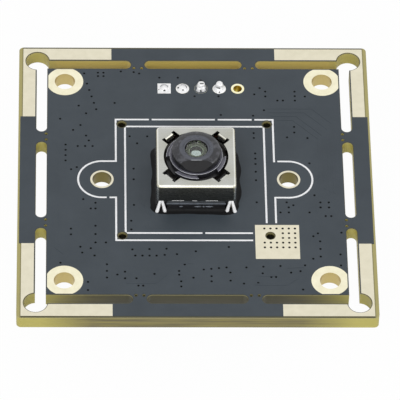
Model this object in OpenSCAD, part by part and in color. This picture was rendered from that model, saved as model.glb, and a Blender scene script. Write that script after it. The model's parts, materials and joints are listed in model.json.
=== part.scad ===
// Autofocus camera module: a square breakaway circuit board with a voice-coil
// focusing lens unit on its front and the electronics on its back.
// Frame: X across, Y towards the header row, Z out of the lens, zero at the
// board's back face, origin at the centre of the mounting hole pattern. In mm.

/* [Board] */
// Side of the square board
board_w = 38; // [37.6:0.1:40]
// Thickness of the laminate
board_t = 1.6; // [1:0.1:2]
// Spacing of the mounting holes
hole_pitch = 28; // [27.9:0.05:28.1]
// Diameter of a mounting hole
hole_d = 2.2; // [2:0.05:2.4]
// Spacing of the corner holes in the breakaway rim
corner_pitch = 34; // [33.9:0.05:34.1]
// Diameter of a corner hole
corner_d = 2.5; // [2.3:0.05:2.6]
// Diameter of the locating holes for a lens holder
locator_d = 0.9; // [0.7:0.05:1]
// Width of the breakaway slots
slot_w = 1.15; // [0.9:0.05:1.2]
// Length of each middle slot
slot_len = 10.6; // [9:0.1:11]
// Width of a web between two slots
web_w = 1.5; // [1:0.1:2]

/* [Lens unit] */
// Side of the square actuator cover
cover_w = 8.5; // [8.5:0.05:8.8]
// Height of the cover's top above the board face
cover_top = 3.77; // [3.7:0.01:4]
// Radius of the round opening in the cover
opening_r = 3.45; // [3.35:0.05:3.5]
// Length of the four bent-down tabs
tab_len = 1.1; // [0.7:0.05:1.2]
// Radius of the lens barrel's front face
front_r = 2.22; // [2.1:0.02:2.3]
// Radius of the entrance cone at the front face
cone_r = 1.22; // [1.15:0.01:1.3]
// Radius of the front aperture
aperture_r = 1.05; // [0.9:0.01:1.1]

/* [Connector] */
// Height of the header housing
housing_h = 6; // [5:0.1:7]
// Pin pitch of the header
pin_pitch = 2; // [2:0.01:2.02]

/* [Hidden] */
$fn = 48;
mask_t = 0.03;
pad_t = 0.04;
ink_t = 0.02;
face = board_t + mask_t;
back = -mask_t;
slot_line = 16.5;
rim_in = 17.2;
pad_end = 8.93;
pins = [-3.2, -1.2, 0.8, 2.8];
pad_r = 0.72;
legend_out = 8.5;
legend_in = 7.5;
ear_y = 2.55;
pin_y = 13;
wall = 0.2;
cover_foot = 1.46;
half = cover_w / 2;
inner = half - wall;
coil_in = 3.7;
coil_diag = 4.22;

// ---- shared outlines -------------------------------------------------------

module rounded(w, d, r) {
    square([w - 2 * r, d], center = true);
    square([w, d - 2 * r], center = true);
    for (x = [-1, 1], y = [-1, 1])
        translate([x * (w / 2 - r), y * (d / 2 - r)]) circle(r = r);
}

module at_corners(p) {
    for (x = [-1, 1], y = [-1, 1])
        translate([x * p, y * p]) children();
}

// Breakaway slots and corner holes, grown by g
module cut_lines(g = 0) {
    w = slot_w + 2 * g;
    x0 = slot_len / 2 + web_w + slot_w / 2;
    for (a = [0:90:270]) rotate(a) {
        square_slot(slot_len + 2 * g, w);
        for (m = [0, 1]) mirror([m, 0]) {
            translate([x0, slot_line]) circle(d = w);
            translate([x0, slot_line - w / 2]) square([corner_pitch / 2 - x0, w]);
        }
        translate([corner_pitch / 2, corner_pitch / 2]) circle(r = corner_d / 2 + g);
    }
}

module square_slot(len, w) {
    translate([0, slot_line]) {
        square([len - w, w], center = true);
        for (s = [-1, 1]) translate([s * (len - w) / 2, 0]) circle(d = w);
    }
}

// Bare copper on the rim's corners: an L round each corner
module rim_pads(out_x, out_y) {
    for (x = [0, 1], y = [0, 1]) mirror([x, 0]) mirror([0, y]) {
        translate([rim_in, pad_end]) square([out_x - rim_in, out_y - pad_end]);
        translate([pad_end, rim_in]) square([out_x - pad_end, out_y - rim_in]);
    }
}

// Round pad of a mounting hole, trimmed flat on its two outer sides
module eyelet_pad() {
    intersection() {
        circle(r = 2);
        translate([-2, -2]) square(3.8);
    }
}

module eyelet_pads() {
    for (x = [0, 1], y = [0, 1]) mirror([x, 0]) mirror([0, y])
        translate([hole_pitch / 2, hole_pitch / 2]) eyelet_pad();
}

// Round pads of the header, the first one square
module header_pads() {
    for (i = [1:4]) translate([pins[0] + i * pin_pitch, pin_y]) circle(r = pad_r);
    translate([pins[0], pin_y]) square(2 * pad_r, center = true);
}

// Two perforation holes in each web, along the inner board's edge
module web_holes(r) {
    for (a = [0:90:270], m = [0, 1], s = [-1, 1]) rotate(a) mirror([m, 0])
        translate([(slot_len + web_w) / 2 + 0.42 * s, slot_line - 0.5])
            circle(r = r, $fn = 16);
}

module locators(r) {
    at_corners(7.85) circle(r = r);
}

module side_holes(r) {
    for (s = [-1, 1]) translate([10 * s, 0]) circle(r = r);
}

module ground_area() {
    translate([6.23, -11.04]) square([4.69, 4.68]);
}

// Vias of the ground pad: six columns, two of the rows with three only
module ground_vias(r) {
    for (i = [0:5], j = [0:4])
        if (i > 2 || j == 0 || j > 2)
            translate([7.22 + 0.65 * i, -6.85 - 0.65 * j])
                circle(r = r, $fn = 16);
}

// ---- board -----------------------------------------------------------------

module circuit_board() {
    color([0.62, 0.58, 0.3]) linear_extrude(board_t) difference() {
        rounded(board_w, board_w, 0.5);
        cut_lines();
        at_corners(hole_pitch / 2) circle(r = hole_d / 2 + 0.05);
        side_holes(1.075);
        locators(locator_d / 2);
        web_holes(0.14);
        for (i = [0:4]) translate([pins[0] + i * pin_pitch, pin_y]) circle(r = 0.525);
    }
}

module mask_sheet() {
    linear_extrude(mask_t) difference() {
        rounded(board_w - 0.4, board_w - 0.4, 0.4);
        cut_lines(0.05);
        web_holes(0.2);
        rim_pads(board_w / 2 + 1, board_w / 2 + 1);
        eyelet_pads();
        side_holes(1.25);
        locators(locator_d / 2 + 0.12);
        header_pads();
        children();
    }
}

module solder_mask_top() {
    color([0.25, 0.27, 0.3]) translate([0, 0, board_t]) mask_sheet() ground_area();
}

module solder_mask_bottom() {
    color([0.25, 0.27, 0.3]) translate([0, 0, -mask_t]) mask_sheet();
}

module corner_pads() {
    color([0.92, 0.86, 0.7]) for (z = [-pad_t, board_t]) translate([0, 0, z])
        linear_extrude(pad_t) difference() {
            rim_pads(board_w / 2 - 0.45, board_w / 2 - 0.2);
            at_corners(corner_pitch / 2) circle(r = corner_d / 2 + 0.08);
        }
}

// Plated hole: barrel through the board with a pad on each face
module plated(r, r_wall) {
    linear_extrude(board_t) difference() {
        circle(r = r_wall);
        circle(r = r);
    }
    for (z = [-pad_t, board_t]) translate([0, 0, z]) linear_extrude(pad_t) difference() {
        children();
        circle(r = r);
    }
}

module mounting_eyelets() {
    color([0.92, 0.86, 0.7])
        for (x = [0, 1], y = [0, 1]) mirror([x, 0, 0]) mirror([0, y, 0])
            translate([hole_pitch / 2, hole_pitch / 2, 0])
                plated(hole_d / 2, hole_d / 2 + 0.05) eyelet_pad();
}

module holder_eyelets() {
    color([0.92, 0.86, 0.7]) for (s = [-1, 1]) translate([10 * s, 0, 0])
        plated(1.025, 1.075) circle(r = 1.25);
}

module header_eyelets() {
    color([0.92, 0.86, 0.7]) {
        translate([pins[0], pin_y, 0]) plated(0.475, 0.525) square(2 * pad_r, center = true);
        for (i = [1:4]) translate([pins[0] + i * pin_pitch, pin_y, 0])
            plated(0.475, 0.525) circle(r = pad_r);
    }
}

module ground_pad() {
    color([0.92, 0.86, 0.7]) translate([0, 0, board_t]) linear_extrude(pad_t) difference() {
        ground_area();
        translate([7.85, -7.85]) circle(r = locator_d / 2 + 0.1);
        ground_vias(0.11);
    }
}

// ---- printed legend --------------------------------------------------------

module bar(x0, y0, x1, y1) {
    w = 0.2;
    translate([min(x0, x1) - w / 2, min(y0, y1) - w / 2])
        square([abs(x1 - x0) + w, abs(y1 - y0) + w]);
}

// Round end of the holder outline about a side hole
module ear() {
    for (y = [-ear_y, ear_y]) bar(legend_out, y, 10, y);
    translate([10, 0]) difference() {
        circle(r = ear_y + 0.1);
        circle(r = ear_y - 0.1);
        translate([-4, -4]) square([4, 8]);
    }
}

// Small breaks in the printed lines
legend_gaps = [[-4.75, legend_out], [2.39, legend_out], [6.38, legend_out],
    [0.79, -legend_in], [-9.35, -ear_y]];

module silkscreen_top() {
    out = legend_out;
    in = legend_in;
    color([0.95, 0.95, 0.95]) translate([0, 0, face]) linear_extrude(ink_t) difference() {
        union() {
            // outer outline, open between the ears
            bar(-out, out, out, out);
            bar(-out, -out, 5.9, -out);
            for (y = [-1, 1]) bar(-out, ear_y * y, -out, out * y);
            bar(out, ear_y + 0.2, out, out);
            bar(out, -ear_y, out, -6.0);
            ear();
            mirror([1, 0]) ear();
            // inner outline
            bar(-in, in, in, in);
            bar(-in, -in, -in, in);
            bar(in, -6.0, in, in);
            bar(-in, -in, 5.9, -in);
        }
        locators(locator_d / 2 + 0.15);
        for (g = legend_gaps) translate(g) square(0.3, center = true);
        translate([out + 0.24, ear_y]) square([0.24, 0.3], center = true);
    }
}

// ---- sensor and holder -----------------------------------------------------

module image_sensor() {
    color([0.2, 0.25, 0.3]) translate([-2.95, -2.5, face]) cube([5.9, 5, 0.35]);
}

// Notches at the front corners that clear the two terminals
module terminal_notches(h) {
    for (s = [0, 1]) mirror([s, 0, 0]) translate([3.06, -half - 1, -1])
        cube([2, 1.35, h + 2]);
}

module sensor_holder() {
    color([0.1, 0.1, 0.1]) translate([0, 0, face]) difference() {
        union() {
            linear_extrude(0.5) rounded(8.6, 8.6, 0.5);
            linear_extrude(0.92) rounded(8.2, 8.2, 0.4);
        }
        translate([-3.5, -3.4, -1]) cube([7, 6.8, 1.62]);
        translate([-2.5, -2.3, -1]) cube([5, 4.6, 3]);
        translate([-3.05, -3.05, 0.74]) cube([6.1, 6.1, 1]);
        terminal_notches(1);
    }
}

module ir_filter() {
    color([0.7, 0.85, 0.9, 0.6]) translate([-3.05, -3.05, face + 0.74])
        cube([6.1, 6.1, 0.18]);
}

// Adhesive bead round the holder's foot
module holder_glue() {
    color([0.07, 0.07, 0.07]) translate([0, 0, face]) difference() {
        union() {
            linear_extrude(0.1) rounded(10.2, 10.2, 1.4);
            linear_extrude(0.22) rounded(9.6, 9.6, 1.1);
            linear_extrude(0.34) rounded(9, 9, 0.8);
        }
        translate([0, 0, -1]) linear_extrude(3) rounded(8.6, 8.6, 0.5);
        for (s = [-1, 1]) translate([s * 3.72 - 0.8, -7, -1]) cube([1.6, 3.9, 3]);
    }
}

// ---- actuator --------------------------------------------------------------

// Octagon with flats at a across the sides and b across the corners
module octagon(a, b) {
    intersection() {
        square(2 * a, center = true);
        rotate(45) square(2 * b, center = true);
    }
}

// The four corners of a square half-width a, cut off at b from the centre
module corners(a, b) {
    difference() {
        square(2 * a, center = true);
        rotate(45) square(2 * b, center = true);
        for (k = [45:90:315]) rotate(k) translate([5.35, -2]) square(4);
    }
}

module actuator_base() {
    color([0.08, 0.08, 0.08]) translate([0, 0, face]) difference() {
        union() {
            translate([0, 0, 0.92]) linear_extrude(0.5) rounded(8.3, 8.3, 0.4);
            translate([0, 0, 1.42]) linear_extrude(0.12) rounded(2 * inner, 2 * inner, 0.25);
            translate([0, 0, 1.54]) linear_extrude(0.11) corners(inner - 0.05, 4.62);
        }
        cylinder(r = 2.75, h = 4);
        difference() {
            terminal_notches(1);
            translate([-5, -5, 1.42]) cube(10);
        }
        for (s = [-1, 1]) translate([s * 3.72 - 0.2, -half, 1.2]) cube([0.4, 1.1, 0.1]);
    }
}

// Flat terminals bent down from the base to the board
module terminal_pins() {
    color([0.8, 0.78, 0.7]) translate([0, 0, face])
        for (s = [-1, 1]) translate([s * 3.72 - 0.2, -4.12, 0]) {
            translate([0, 0, 0.02]) cube([0.4, 0.1, 1.28]);
            translate([0, 0, 1.2]) cube([0.4, 0.97, 0.1]);
        }
}

// Solder fillet in front of each terminal
module terminal_solder() {
    color([0.86, 0.87, 0.88]) translate([0, 0, face])
        for (s = [-1, 1]) translate([s * 3.72, -4.12, 0]) intersection() {
            cylinder(r1 = 0.7, r2 = 0.2, h = 1.4);
            translate([-2, -2, 0]) cube([4, 2, 3]);
        }
}

// Four folded flexure arms between corner lands and an inner ring
module flexure(ring_in, ring_out) {
    linear_extrude(0.04) {
        corners(inner - 0.06, 4.62);
        difference() {
            circle(r = ring_out);
            circle(r = ring_in);
        }
        for (k = [0:90:270]) rotate(k) {
            translate([3.2, -0.3]) square([0.6, 0.6]);
            translate([3.72, -0.3]) square([0.08, 2.9]);
            translate([3.87, 2.52]) square([0.08, 0.6]);
            translate([3.72, 2.52]) square([0.23, 0.08]);
        }
    }
}

module lower_spring() {
    color([0.8, 0.7, 0.5]) translate([0, 0, face + 1.65]) flexure(3.2, 3.5);
}

module upper_spring() {
    color([0.8, 0.7, 0.5]) translate([0, 0, face + 3.1]) flexure(3.15, 3.5);
}

module carrier() {
    color([0.15, 0.15, 0.17]) translate([0, 0, face]) difference() {
        union() {
            translate([0, 0, 1.69]) linear_extrude(0.29) octagon(3.85, 4.45);
            translate([0, 0, 1.98]) linear_extrude(1.12) octagon(coil_in - 0.02, 3.78);
            translate([0, 0, 3.1]) cylinder(r = 2.8, h = 0.95);
            // upper rim, lowered to adhesive ledges at four places
            difference() {
                translate([0, 0, 3.1]) cylinder(r = 3.15, h = 0.7);
                for (k = [22, 112, 203, 296]) rotate(k) translate([1.5, -1.16, 3.3])
                    cube([2.5, 2.32, 1]);
            }
        }
        cylinder(r = 2.6, h = 6);
        // stop notch under each tab
        for (k = [45:90:315]) rotate(k) translate([3.66, -0.7, 2.1]) cube([1, 1.4, 2]);
    }
}

module coil() {
    color([0.72, 0.42, 0.2]) translate([0, 0, face + 1.98]) linear_extrude(1) difference() {
        octagon(3.9, 4.45);
        octagon(coil_in - 0.02, coil_diag);
    }
}

module magnets() {
    color([0.6, 0.6, 0.62]) translate([0, 0, face + 1.69]) linear_extrude(1.41)
        corners(inner - 0.05, 4.62);
}

module spring_spacer() {
    color([0.15, 0.15, 0.15]) translate([0, 0, face]) {
        translate([0, 0, 3.14]) linear_extrude(cover_top - wall - 3.14)
            corners(inner - 0.02, 4.62);
        translate([0, 0, 3.34]) linear_extrude(cover_top - wall - 3.34) difference() {
            square(2 * inner - 0.04, center = true);
            square(2 * inner - 0.26, center = true);
            for (k = [45:90:315]) rotate(k) translate([5.35, -2]) square(4);
            for (k = [45:90:315]) rotate(k) translate([3, -1]) square([1.62, 2]);
        }
    }
}

// Square block with round vertical corners r and a bent top edge q
module soft_box(w, h, r, q) {
    intersection() {
        linear_extrude(h) rounded(w, w, r);
        rotate([90, 0, 0]) linear_extrude(2 * w, center = true) rounded(w, 2 * h, q);
        rotate([90, 0, 90]) linear_extrude(2 * w, center = true) rounded(w, 2 * h, q);
    }
}

// One tab: a quarter bend from the top sheet into a straight tongue
module tab() {
    bend = 4.15;
    translate([bend, 0.53, 0]) rotate([90, 0, 0]) linear_extrude(1.06) {
        intersection() {
            difference() {
                circle(r = 0.3);
                circle(r = 0.1);
            }
            translate([-1, 0]) square(1);
        }
        translate([-0.3, -tab_len]) square([0.2, tab_len]);
    }
}

module actuator_cover() {
    h = cover_top - cover_foot;
    color([0.78, 0.77, 0.74]) translate([0, 0, face + cover_foot]) {
        difference() {
            soft_box(cover_w, h, 0.45, 0.3);
            translate([0, 0, -1]) linear_extrude(h - wall + 1)
                rounded(2 * inner, 2 * inner, 0.25);
            cylinder(r = opening_r, h = 9);
            for (k = [45:90:315]) rotate(k) {
                translate([2, -0.53, 0]) cube([2.15, 1.06, 9]);
                for (s = [-1, 1]) translate([2, s * 0.72 - 0.19, 0]) cube([2.22, 0.38, 9]);
            }
        }
        for (k = [45:90:315]) rotate(k) translate([0, 0, h - 0.3]) tab();
    }
}

// ---- lens ------------------------------------------------------------------

module lens_barrel() {
    color([0.12, 0.12, 0.14]) translate([0, 0, face]) rotate_extrude() polygon([
        [2.1, 1.2], [2.35, 1.2], [2.35, 1.5], [2.6, 1.7], [2.6, 4.82], [2.55, 4.97],
        [2.42, 5.08], [front_r, 5.15], [cone_r + 0.28, 5.1], [cone_r + 0.22, 5.02],
        [cone_r, 5.02], [aperture_r, 4.84], [aperture_r, 4.75], [1.3, 4.75], [1.3, 4.2],
        [1.5, 4.2], [1.5, 3.68], [1.7, 3.68], [1.7, 3.02], [1.9, 3.02], [1.9, 2.35],
        [2.1, 2.35]]);
}

// Spherical cap of base radius c and height h, standing on z = 0
module cap(c, h) {
    r = (c * c + h * h) / (2 * h);
    intersection() {
        translate([0, 0, h - r]) sphere(r = r, $fn = 200);
        cylinder(r = c, h = h);
    }
}

// Lens element: rim disc with a bulge (plus) or hollow (minus) on each face
module element(r, z0, z1, c, front, rear) {
    color([0.75, 0.88, 0.85, 0.5]) translate([0, 0, face]) difference() {
        union() {
            translate([0, 0, z0]) cylinder(r = r, h = z1 - z0);
            if (front > 0) translate([0, 0, z1]) cap(c, front);
            if (rear > 0) translate([0, 0, z0]) mirror([0, 0, 1]) cap(c, rear);
        }
        if (front < 0) translate([0, 0, z1]) mirror([0, 0, 1]) cap(c, -front);
        if (rear < 0) translate([0, 0, z0]) cap(c, -rear);
    }
}

module lens_1() element(1.3, 4.3, 4.75, 1, 0.16, -0.05);
module lens_2() element(1.5, 3.78, 4.2, 1.1, -0.09, 0.06);
module lens_3() element(1.7, 3.12, 3.68, 1.3, -0.1, 0.07);
module lens_4() element(1.9, 2.45, 3.02, 1.5, -0.12, 0.06);
module lens_5() element(2.1, 1.65, 2.35, 1.7, -0.1, -0.16);

// Opaque rings between the elements
module lens_spacers() {
    color([0.08, 0.08, 0.08]) translate([0, 0, face])
        for (s = [[1.3, 1.05, 4.2], [1.5, 1.2, 3.68], [1.7, 1.4, 3.02], [1.9, 1.55, 2.35]])
            translate([0, 0, s[2]]) linear_extrude(0.1) difference() {
                circle(r = s[0]);
                circle(r = s[1]);
            }
}

module lens_retainer() {
    color([0.08, 0.08, 0.08]) translate([0, 0, face]) rotate_extrude()
        polygon([[1.75, 1.65], [1.9, 1.35], [2.1, 1.35], [2.1, 1.65]]);
}

// ---- header connector ------------------------------------------------------

module connector_housing() {
    cx = pins[0] + 1.5 * pin_pitch;
    color([0.93, 0.92, 0.88]) translate([cx, pin_y, back]) mirror([0, 0, 1]) difference() {
        translate([-4.95, -1.7, 0]) cube([9.9, 4.5, housing_h]);
        // socket for the plug
        translate([-4.2, -1.05, 1.4]) cube([8.4, 3.25, housing_h]);
        // polarising slots in the front wall
        for (s = [-1, 1]) translate([s * 2.3 - 0.55, 2, 2.2]) cube([1.1, 2, housing_h]);
        // end wall windows
        for (s = [-1, 1]) translate([s * 4.6 - 1, -0.3, 2.6]) cube([2, 1.4, housing_h]);
        for (i = [0:3]) translate([(i - 1.5) * pin_pitch - 0.25, -0.25, -1])
            cube([0.5, 0.5, 4]);
        // relief under the housing for flux
        translate([-3.9, -0.75, -1]) cube([7.8, 1.5, 1.2]);
    }
}

module connector_pins() {
    color([0.85, 0.83, 0.78]) for (x = [0:3])
        translate([pins[0] + x * pin_pitch - 0.25, pin_y - 0.25, back - housing_h + 0.9])
            cube([0.5, 0.5, housing_h - 0.9 - back + face + 0.8]);
}

// Solder cones round the pins, filling the plated holes
module connector_solder() {
    color([0.86, 0.87, 0.88]) for (x = [0:3])
        translate([pins[0] + x * pin_pitch, pin_y, 0]) difference() {
            union() {
                cylinder(r = 0.475, h = board_t + pad_t);
                translate([0, 0, board_t + pad_t]) cylinder(r1 = 0.7, r2 = 0.4, h = 0.55);
                translate([0, 0, board_t + pad_t + 0.55]) cylinder(r1 = 0.4, r2 = 0.34, h = 0.12);
            }
            translate([-0.25, -0.25, -1]) cube([0.5, 0.5, 5]);
        }
}

// ---- parts on the back -----------------------------------------------------

// Places children on the back face, facing down, at x, y and turned by a
module on_back(x, y, a = 0) {
    translate([x, y, back]) rotate(a) mirror([0, 0, 1]) children();
}

module body(w, d, h, z = 0) {
    translate([-w / 2, -d / 2, z]) cube([w, d, h]);
}

processor_at = [-0.6, -3.2];
memory_at = [0.4, 5.6];
crystal_at = [7.3, -3.6];
regulators_at = [[-9.9, 12.4, 0], [-12.6, 7.6, 90]];
inductors_at = [[9.2, 12.2], [12.2, 7.6]];
driver_at = [-7.6, -2.2];
capacitors_at = [[-6.9, 11.9, 90], [-9.9, 8.4, 90], [6.2, 8.9, 90], [4.6, 8.9, 90],
    [6.8, 0.6, 0], [-6.6, 1.6, 90], [-6.4, -5.4, 90], [5.2, -6.6, 90], [0.6, -9.3, 0],
    [-3, -9.3, 0], [12.6, 3.6, 0], [-12.6, 3.6, 0], [9.6, -7.4, 0], [14, -3, 90]];
resistors_at = [[-4.8, 3, 0], [-4.8, 4, 0], [5, 3.4, 90], [6.1, 3.4, 90], [7.2, 3.4, 90],
    [-5.6, -9.4, 90], [3.4, -9.4, 90], [4.4, -9.4, 90], [-8.9, -5.2, 0], [9.6, -9, 0]];

module video_processor() {
    color([0.12, 0.12, 0.13]) on_back(processor_at[0], processor_at[1])
        body(9, 9, 0.85, 0.02);
}

module processor_terminals() {
    color([0.8, 0.8, 0.78]) on_back(processor_at[0], processor_at[1])
        for (a = [0:90:270]) rotate(a) for (i = [0:11])
            translate([(i - 5.5) * 0.65 - 0.15, 4.5, 0]) cube([0.3, 0.28, 0.22]);
}

module flash_memory() {
    color([0.12, 0.12, 0.13]) on_back(memory_at[0], memory_at[1]) difference() {
        union() {
            body(4.9, 3.9, 0.7, 0.85);
            body(4.8, 3.8, 0.7, 0.15);
        }
        translate([-1.9, -1.3, 1.47]) cylinder(r = 0.35, h = 1);
    }
}

// One gull-wing lead, width w, shoulder height h, reaching out by reach
module gull(w, h, reach, t) {
    translate([-w / 2, 0, 0]) rotate([90, 0, 90]) linear_extrude(w) polygon([
        [0, h], [reach * 0.3, h], [reach * 0.5, t], [reach, t], [reach, 0],
        [reach * 0.5 - t * 0.7, 0], [reach * 0.3 - t * 0.7, h - t], [0, h - t]]);
}

module flash_leads() {
    color([0.8, 0.8, 0.78]) on_back(memory_at[0], memory_at[1])
        for (m = [0, 1]) mirror([0, m, 0]) for (i = [0:3])
            translate([(i - 1.5) * 1.27, 1.95, 0]) gull(0.42, 0.98, 1.05, 0.17);
}

module crystal_base() {
    color([0.85, 0.83, 0.78]) on_back(crystal_at[0], crystal_at[1]) body(3.2, 2.5, 0.45, 0.03);
}

module crystal_lid() {
    color([0.8, 0.8, 0.8]) on_back(crystal_at[0], crystal_at[1]) translate([0, 0, 0.48])
        linear_extrude(0.3) rounded(2.9, 2.2, 0.3);
}

module regulators() {
    color([0.12, 0.12, 0.13]) for (p = regulators_at) on_back(p[0], p[1], p[2])
        body(2.9, 1.6, 1, 0.1);
}

module regulator_leads() {
    color([0.8, 0.8, 0.78]) for (p = regulators_at) on_back(p[0], p[1], p[2])
        for (q = [[-0.95, 0], [0, 0], [0.95, 0], [-0.95, 1], [0.95, 1]])
            mirror([0, q[1], 0]) translate([q[0], 0.8, 0]) gull(0.4, 0.66, 0.6, 0.13);
}

module inductor_cores() {
    color([0.3, 0.3, 0.32]) for (p = inductors_at) on_back(p[0], p[1])
        translate([0, 0, 0.12]) linear_extrude(1.3) rounded(3.2, 3.2, 0.35);
}

module inductor_terminals() {
    color([0.8, 0.8, 0.78]) for (p = inductors_at) on_back(p[0], p[1])
        for (s = [-1, 1]) translate([s * 1.15 - 0.55, -1.3, 0]) cube([1.1, 2.6, 0.12]);
}

// Chip part bodies and their plated ends: length l, width w, height h
module chips(list, l, w, h, e) {
    for (p = list) on_back(p[0], p[1], p[2]) body(l - 2 * e, w - 0.04, h - 0.04, 0.02);
}

module chip_ends(list, l, w, h, e) {
    for (p = list) on_back(p[0], p[1], p[2])
        for (s = [-1, 1]) translate([s * (l - e) / 2, 0, 0]) body(e, w, h);
}

module capacitor_bodies() {
    color([0.7, 0.6, 0.45]) chips(capacitors_at, 1.6, 0.8, 0.8, 0.32);
}

module capacitor_ends() {
    color([0.85, 0.86, 0.87]) chip_ends(capacitors_at, 1.6, 0.8, 0.8, 0.32);
}

module resistor_bodies() {
    color([0.12, 0.12, 0.13]) chips(resistors_at, 1, 0.5, 0.35, 0.2);
}

module resistor_ends() {
    color([0.85, 0.86, 0.87]) chip_ends(resistors_at, 1, 0.5, 0.35, 0.2);
}

module focus_driver() {
    color([0.12, 0.12, 0.13]) on_back(driver_at[0], driver_at[1]) body(1.6, 1.6, 0.55, 0);
}

// ---- output ----------------------------------------------------------------

circuit_board();
solder_mask_top();
solder_mask_bottom();
corner_pads();
mounting_eyelets();
holder_eyelets();
header_eyelets();
ground_pad();
silkscreen_top();
image_sensor();
sensor_holder();
ir_filter();
holder_glue();
actuator_base();
terminal_pins();
terminal_solder();
lower_spring();
carrier();
coil();
magnets();
upper_spring();
spring_spacer();
actuator_cover();
lens_barrel();
lens_1();
lens_2();
lens_3();
lens_4();
lens_5();
lens_spacers();
lens_retainer();
connector_housing();
connector_pins();
connector_solder();
video_processor();
processor_terminals();
flash_memory();
flash_leads();
crystal_base();
crystal_lid();
regulators();
regulator_leads();
inductor_cores();
inductor_terminals();
capacitor_bodies();
capacitor_ends();
resistor_bodies();
resistor_ends();
focus_driver();
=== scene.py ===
import json
import math

import bmesh
import bpy
from mathutils import Matrix, Vector, noise

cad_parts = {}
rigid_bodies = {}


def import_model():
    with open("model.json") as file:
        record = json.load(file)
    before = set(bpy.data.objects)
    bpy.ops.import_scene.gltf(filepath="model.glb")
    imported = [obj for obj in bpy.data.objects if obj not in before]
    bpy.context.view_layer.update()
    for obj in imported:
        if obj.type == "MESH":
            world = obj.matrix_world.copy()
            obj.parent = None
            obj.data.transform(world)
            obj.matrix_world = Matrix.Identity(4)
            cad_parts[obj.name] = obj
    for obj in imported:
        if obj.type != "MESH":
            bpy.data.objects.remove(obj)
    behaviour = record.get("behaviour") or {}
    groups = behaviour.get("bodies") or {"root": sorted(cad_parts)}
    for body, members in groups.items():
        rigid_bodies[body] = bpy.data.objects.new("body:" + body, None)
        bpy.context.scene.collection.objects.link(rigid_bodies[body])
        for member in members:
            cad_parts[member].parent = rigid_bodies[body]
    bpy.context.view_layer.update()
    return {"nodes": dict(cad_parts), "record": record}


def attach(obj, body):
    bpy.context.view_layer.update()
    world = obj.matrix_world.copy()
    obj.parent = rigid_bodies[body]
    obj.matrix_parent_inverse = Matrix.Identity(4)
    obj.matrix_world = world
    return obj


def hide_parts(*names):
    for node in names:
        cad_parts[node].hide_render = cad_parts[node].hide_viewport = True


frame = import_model()
scene = bpy.context.scene
nodes = frame["nodes"]
slotOf = {part["node"]: part["material_slot"] for part in frame["record"]["subparts"]}
bodyOf = {name: body for body, names in frame["record"]["behaviour"]["bodies"].items()
          for name in names}

millimetre = 0.001


# lowest and highest point of a CAD node in millimetres
def heightsOf(name):
    heights = [vert.co.z for vert in nodes[name].data.vertices]
    return [round(z / millimetre, 4) for z in (min(heights), max(heights))]


boardTop = heightsOf("circuit_board")[1]          # laminate's upper face
face = heightsOf("solder_mask_top")[1]            # solder mask's upper face


# node materials

# sRGB numbers from 0 to 255 as the linear colour a socket takes
def paint(red, green, blue):
    def linear(c):
        c /= 255
        return c / 12.92 if c <= 0.04045 else ((c + 0.055) / 1.055) ** 2.4
    return (linear(red), linear(green), linear(blue), 1.0)


def addNode(tree, kind, values=None, **settings):
    node = tree.nodes.new(kind)
    for key, value in settings.items():
        setattr(node, key, value)
    for key, value in (values or {}).items():
        node.inputs[key].default_value = value
    return node


def startFinish(name, **values):
    finish = bpy.data.materials.new(name)
    finish.use_nodes = True
    shader = finish.node_tree.nodes["Principled BSDF"]
    for key, value in values.items():
        shader.inputs[key].default_value = value
    return finish, finish.node_tree, shader


# sets a value on a socket, or links another node's output to it
def feed(tree, source, socket):
    if isinstance(source, bpy.types.NodeSocket):
        tree.links.new(source, socket)
    else:
        socket.default_value = source


def calculate(tree, operation, *sources):
    step = addNode(tree, "ShaderNodeMath", operation=operation)
    for source, socket in zip(sources, step.inputs):
        feed(tree, source, socket)
    return step.outputs[0]


def mixTones(tree, share, first, second, blend="MIX"):
    mixer = addNode(tree, "ShaderNodeMix", data_type="RGBA", blend_type=blend)
    feed(tree, share, mixer.inputs["Factor"])
    feed(tree, first, mixer.inputs[6])
    feed(tree, second, mixer.inputs[7])
    return mixer.outputs[2]


def placeOn(tree, stretch=(1, 1, 1), turn=(0, 0, 0)):
    where = addNode(tree, "ShaderNodeTexCoord")
    mapping = addNode(tree, "ShaderNodeMapping", {"Scale": stretch, "Rotation": turn})
    tree.links.new(where.outputs["Object"], mapping.inputs["Vector"])
    return mapping.outputs["Vector"]


# X, Y and Z of the surface's place (Object) or direction (Normal)
def axisParts(tree, kind):
    where = addNode(tree, "ShaderNodeTexCoord")
    parts = addNode(tree, "ShaderNodeSeparateXYZ")
    tree.links.new(where.outputs[kind], parts.inputs["Vector"])
    return parts.outputs


# distance from the optical axis
def fromAxis(tree):
    out = addNode(tree, "ShaderNodeVectorMath", operation="LENGTH")
    tree.links.new(placeOn(tree, (1, 1, 0)), out.inputs[0])
    return out.outputs["Value"]


# noise whose blotches measure about size millimetres
def speckle(tree, place, size, detail=3.0):
    grain = addNode(tree, "ShaderNodeTexNoise",
                    {"Scale": 1000 / size, "Detail": detail, "Roughness": 0.55})
    tree.links.new(place, grain.inputs["Vector"])
    return grain.outputs["Fac"]


# maps a 0 to 1 pattern to the range low to high
def spread(tree, source, low, high, start=0.3, end=0.7):
    span = addNode(tree, "ShaderNodeMapRange",
                   {"From Min": start, "From Max": end, "To Min": low, "To Max": high})
    tree.links.new(source, span.inputs["Value"])
    return span.outputs["Result"]


# goes from low to high between two places given in millimetres
def across(tree, source, low, high, places):
    return spread(tree, source, low, high, *[place * millimetre for place in places])


# a ramp from first to last with more tones at the positions between
def toneRamp(tree, source, first, last, between=()):
    tones = addNode(tree, "ShaderNodeValToRGB")
    stops = tones.color_ramp.elements
    for stop, (position, tone) in zip(stops, (first, last)):
        stop.position = position
        stop.color = tone
    for position, tone in between:
        stops.new(position).color = tone
    tree.links.new(source, tones.inputs["Fac"])
    return tones.outputs["Color"]


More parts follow.
